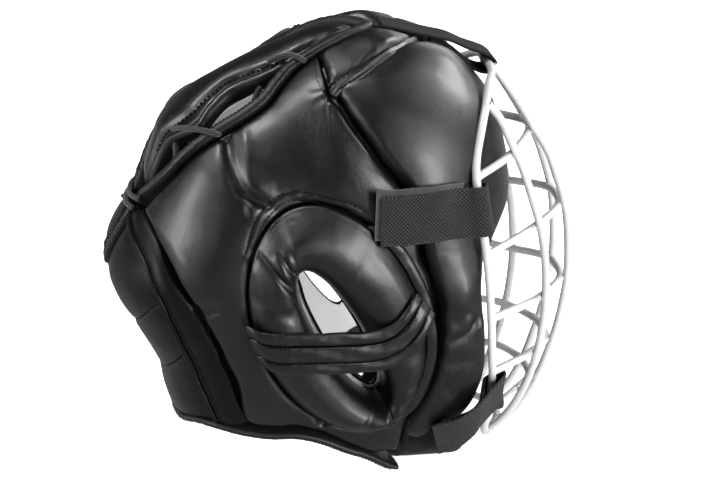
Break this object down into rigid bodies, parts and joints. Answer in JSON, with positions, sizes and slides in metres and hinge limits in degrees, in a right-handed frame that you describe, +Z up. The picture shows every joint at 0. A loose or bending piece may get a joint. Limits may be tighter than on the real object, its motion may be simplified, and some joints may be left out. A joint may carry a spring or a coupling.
{
  "type": "martial arts grille helmet",
  "caption": "Padded leatherette head guard with ear openings, laced crown pad, nape pad, chin flap and a white coated wire face grille held by straps.",
  "frame": {"origin": "middle of the bounding box at its base, on the surface that the chin flap rests on", "axes": "+X to the front through the face grille, +Y to the wearer's left, +Z up"},
  "size_m": [0.2908, 0.2206, 0.266],
  "materials": {
    "leatherette": "semi-gloss grained polyurethane leather over foam",
    "binding_tape": "woven binding tape",
    "webbing": "hook-and-loop webbing",
    "lining": "matte pale cloth",
    "lace": "braided cord",
    "coated_wire": "glossy white dipped coating"
  },
  "bodies": {
    "root": {"brow_pad": "leatherette", "top_front_pad": "leatherette", "side_pad_right": "leatherette", "side_pad_left": "leatherette", "nape_pad": "leatherette", "crown_pad": "leatherette", "ear_ring_right": "leatherette", "ear_ring_left": "leatherette", "ear_strap_right": "leatherette", "ear_strap_left": "leatherette", "chin_flap": "leatherette", "rim_binding": "binding_tape", "nape_binding": "binding_tape", "hem_binding": "binding_tape", "lining_right": "lining", "lining_left": "lining", "side_strap_right": "webbing", "side_strap_left": "webbing", "lower_strap_right": "webbing", "lower_strap_left": "webbing", "top_strap": "webbing", "lace_middle_right": "lace", "lace_front_right": "lace", "lace_inner_rear_right": "lace", "lace_inner_front_right": "lace", "lace_middle_left": "lace", "lace_front_left": "lace", "lace_inner_rear_left": "lace", "lace_inner_front_left": "lace", "lace_knot_upper": "lace", "lace_knot_lower": "lace", "grille_frame_right": "coated_wire", "grille_frame_left": "coated_wire", "grille_upright_outer_right": "coated_wire", "grille_upright_outer_left": "coated_wire", "grille_upright_inner_right": "coated_wire", "grille_upright_inner_left": "coated_wire", "grille_bar_forehead": "coated_wire", "grille_bar_eyes": "coated_wire", "grille_bar_nose": "coated_wire", "grille_bar_mouth": "coated_wire", "grille_bar_chin": "coated_wire"}
  },
  "joints": []
}
